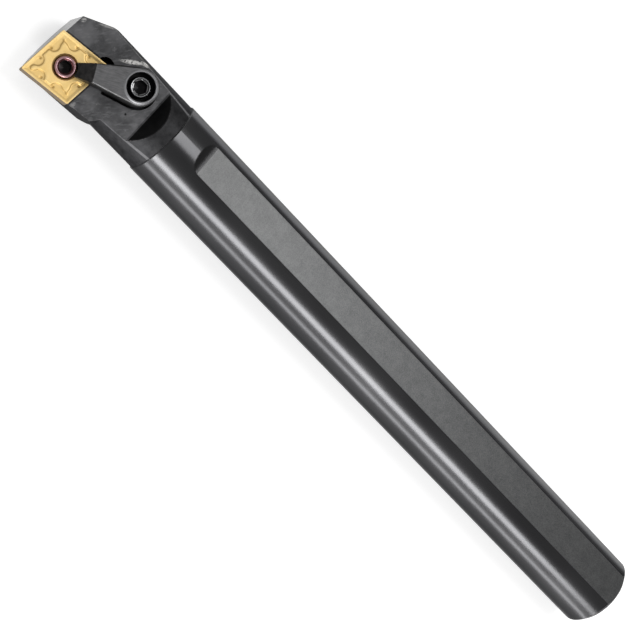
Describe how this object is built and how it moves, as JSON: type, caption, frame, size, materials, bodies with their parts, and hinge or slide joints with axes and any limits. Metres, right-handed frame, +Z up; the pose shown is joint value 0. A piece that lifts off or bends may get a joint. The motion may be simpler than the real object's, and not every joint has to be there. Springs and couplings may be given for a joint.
{
  "type": "indexable boring bar",
  "caption": "Round steel lathe boring bar with flats along its shank, a rhombic coated carbide insert, a lock pin and a finger clamp lifted by a double-ended screw.",
  "frame": {"origin": "centre of the shank's tail face, on the shank's axis", "axes": "+X along the shank from the tail to the cutting head, +Y to the side of the cutting nose, +Z up, square to the upper flat"},
  "size_m": [0.2, 0.023, 0.0222],
  "materials": {
    "bar_steel": "blackened steel, ground glossy on the shank and matt on the milled head",
    "insert_coating": "satin gold-coloured hard coating on sintered carbide",
    "pin_steel": "reddish brown heat-treated steel",
    "clamp_steel": "blackened steel with fine grinding lines",
    "screw_steel": "glossy black oxide"
  },
  "bodies": {
    "bar": {"bar": "bar_steel", "cutting_insert": "insert_coating", "lock_pin": "pin_steel"},
    "clamp": {"clamp": "clamp_steel"},
    "clamp_screw": {"clamp_screw": "screw_steel"}
  },
  "joints": [
    {"name": "clamp_screw_turn", "type": "hinge", "parent": "bar", "child": "clamp_screw", "pos_m": [0.17868, -0.00112, 0.00617], "axis": [0.1008, 0.2659, 0.9587], "range_deg": [0, 722]},
    {"name": "clamp_lift", "type": "slide", "parent": "bar", "child": "clamp", "axis": [0.1008, 0.2659, 0.9587], "range_m": [0, 0.0032]}
  ],
  "couplings": [
    {"joint": "clamp_screw_turn", "follows": "clamp_lift", "rad_per_m": 3927}
  ]
}
